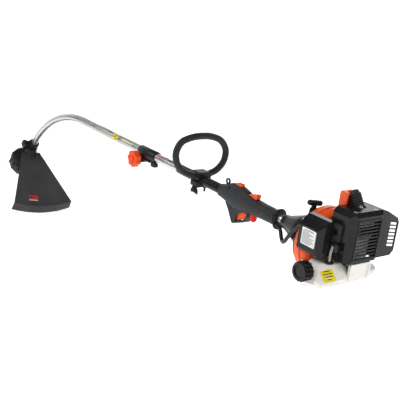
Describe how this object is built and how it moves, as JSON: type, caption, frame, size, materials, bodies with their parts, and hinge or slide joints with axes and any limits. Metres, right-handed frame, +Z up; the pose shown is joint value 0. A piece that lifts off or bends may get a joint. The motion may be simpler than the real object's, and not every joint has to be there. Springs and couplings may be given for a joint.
{
  "type": "petrol string trimmer",
  "caption": "Petrol string trimmer with a split curved shaft, loop handle, trigger grip, small engine with a fuel tank, guard and a bump-feed line head.",
  "frame": {"origin": "bottom centre of the bounding box, on the ground the machine stands on", "axes": "+X runs forward along the machine from the engine to the cutting head, +Y to the operator's left, +Z up"},
  "size_m": [1.848, 0.2534, 0.3738],
  "materials": {
    "tube_aluminium": "brushed, lightly scuffed",
    "sleeve_rubber": "matte",
    "loop_rubber": "matte with a faint sheen",
    "coupler_black": "moulded, satin",
    "knob_orange": "moulded, satin",
    "drive_steel": "machined, oiled",
    "screw_steel": "zinc plated",
    "cast_alloy": "cast, dull",
    "cover_black": "glossy moulding",
    "hidden_plastic": "moulded",
    "muffler_steel": "heat stained",
    "shroud_orange": "glossy moulding",
    "lever_orange": "glossy moulding",
    "button_red": "glossy moulding",
    "grip_grey": "fine grained moulding",
    "tank_white": "translucent, satin",
    "hose_clear": "clear, soft",
    "cable_black": "satin jacket",
    "rope_cord": "braided",
    "filter_foam": "open foam",
    "guard_charcoal": "grained moulding",
    "head_black": "moulded, satin",
    "line_nylon": "nylon filament"
  },
  "bodies": {
    "engine_unit": {"air_filter_base": "hidden_plastic", "air_filter_cover": "cover_black", "air_filter_foam": "filter_foam", "carburettor": "hidden_plastic", "clutch_housing": "cover_black", "connecting_rod": "drive_steel", "coupler_body": "coupler_black", "crankcase": "cast_alloy", "cylinder": "cast_alloy", "cylinder_cover": "cover_black", "fan_shroud": "shroud_orange", "fuel_hose": "hose_clear", "fuel_tank": "tank_white", "grip_flange": "coupler_black", "grip_left_shell": "grip_grey", "grip_right_shell": "grip_grey", "grip_screws": "hidden_plastic", "hanging_ring": "coupler_black", "muffler": "muffler_steel", "muffler_guard": "cover_black", "piston": "cast_alloy", "socket_screws": "screw_steel", "spark_plug": "drive_steel", "spark_plug_boot": "loop_rubber", "tank_grommet": "loop_rubber", "throttle_cable": "cable_black", "tube_sleeve": "sleeve_rubber", "upper_tube": "tube_aluminium"},
    "crank": {"crankshaft": "drive_steel", "flywheel": "cast_alloy", "clutch_shoes": "drive_steel"},
    "drive": {"clutch_drum": "drive_steel", "drive_shaft": "drive_steel"},
    "reel": {"recoil_reel": "hidden_plastic"},
    "starter": {"starter_grip": "cover_black", "starter_rope": "rope_cord"},
    "trigger": {"throttle_trigger": "lever_orange"},
    "lockout": {"lockout_lever": "lever_orange"},
    "switch": {"stop_switch": "lever_orange"},
    "lock_button": {"throttle_lock_button": "button_red"},
    "cap": {"fuel_cap": "cover_black"},
    "choke": {"choke_lever": "cover_black"},
    "clamp_knob": {"coupler_knob": "knob_orange"},
    "lock_pin": {"coupler_pin": "coupler_black"},
    "loop": {"loop_handle": "loop_rubber", "loop_clamp_upper": "coupler_black", "loop_clamp_lower": "coupler_black", "loop_clamp_bolts": "coupler_black"},
    "wing_nut": {"loop_wing_nut": "coupler_black"},
    "lower_unit": {"lower_tube": "tube_aluminium", "flex_shaft": "drive_steel", "guard": "guard_charcoal", "line_cutter": "screw_steel", "guard_clamp": "coupler_black", "guard_bolt": "coupler_black"},
    "cutting_head": {"head_housing": "head_black", "head_spindle": "drive_steel", "line_spool": "hidden_plastic", "trimmer_line": "line_nylon"},
    "bump": {"bump_knob": "head_black"}
  },
  "joints": [
    {"name": "crank_spin", "type": "hinge", "parent": "engine_unit", "child": "crank", "pos_m": [-0.86516, -0.00873, 0.05904], "axis": [0.9724, 0, 0.2334], "continuous": true},
    {"name": "drive_spin", "type": "hinge", "parent": "engine_unit", "child": "drive", "pos_m": [-0.71541, -0.00873, 0.09499], "axis": [0.9724, 0, 0.2334], "continuous": true},
    {"name": "reel_spin", "type": "hinge", "parent": "engine_unit", "child": "reel", "pos_m": [-0.75917, -0.00873, 0.08449], "axis": [0.9724, 0, 0.2334], "range_deg": [0, 1145], "stiffness_Nm_per_rad": 0.004, "springref_deg": -1432.39},
    {"name": "grip_pull", "type": "slide", "parent": "engine_unit", "child": "starter", "axis": [-0.2305, -0.1586, 0.9601], "range_m": [0, 0.44], "deforming": ["starter_rope"]},
    {"name": "trigger_squeeze", "type": "hinge", "parent": "engine_unit", "child": "trigger", "pos_m": [-0.49814, -0.00873, 0.11527], "axis": [0, 1, 0], "range_deg": [0, 14], "stiffness_Nm_per_rad": 0.3, "springref_deg": -17.19},
    {"name": "lockout_press", "type": "hinge", "parent": "engine_unit", "child": "lockout", "pos_m": [-0.54252, -0.00873, 0.1545], "axis": [0, -1, 0], "range_deg": [0, 6], "stiffness_Nm_per_rad": 0.3, "springref_deg": -17.19},
    {"name": "switch_rock", "type": "hinge", "parent": "engine_unit", "child": "switch", "pos_m": [-0.50534, -0.00873, 0.17525], "axis": [0, 1, 0], "range_deg": [0, 12]},
    {"name": "button_push", "type": "slide", "parent": "engine_unit", "child": "lock_button", "axis": [-0.2334, 0, 0.9724], "range_m": [0, 0.004], "stiffness_N_per_m": 300, "springref_m": -0.004},
    {"name": "cap_turn", "type": "hinge", "parent": "engine_unit", "child": "cap", "pos_m": [-0.82906, 0.07727, 0.02863], "axis": [0, 1, 0], "range_deg": [0, 360]},
    {"name": "choke_turn", "type": "hinge", "parent": "engine_unit", "child": "choke", "pos_m": [-0.87169, 0.04326, 0.08627], "axis": [0, 1, 0], "range_deg": [0, 60]},
    {"name": "knob_turn", "type": "hinge", "parent": "engine_unit", "child": "clamp_knob", "pos_m": [-0.0493, -0.00873, 0.23332], "axis": [0, 1, 0], "range_deg": [0, 1080]},
    {"name": "pin_pull", "type": "slide", "parent": "engine_unit", "child": "lock_pin", "axis": [0.2334, 0, -0.9724], "range_m": [0, 0.004], "stiffness_N_per_m": 500, "springref_m": -0.006},
    {"name": "loop_slide", "type": "slide", "parent": "engine_unit", "child": "loop", "axis": [0.9724, 0, 0.2334], "range_m": [-0.06, 0.06]},
    {"name": "wing_nut_turn", "type": "hinge", "parent": "loop", "child": "wing_nut", "pos_m": [-0.33716, 0.00826, 0.1858], "axis": [-0.2334, 0, 0.9724], "range_deg": [0, 720]},
    {"name": "lower_slide", "type": "slide", "parent": "engine_unit", "child": "lower_unit", "axis": [0.9724, 0, 0.2334], "range_m": [0, 0.12]},
    {"name": "head_spin", "type": "hinge", "parent": "lower_unit", "child": "cutting_head", "pos_m": [0.8094, -0.00873, 0.23457], "axis": [0.8141, 0, -0.5807], "continuous": true},
    {"name": "bump_press", "type": "slide", "parent": "cutting_head", "child": "bump", "axis": [-0.8141, 0, 0.5807], "range_m": [0, 0.004], "stiffness_N_per_m": 900, "springref_m": -0.008}
  ],
  "couplings": [
    {"joint": "grip_pull", "follows": "reel_spin", "m_per_rad": 0.022}
  ]
}
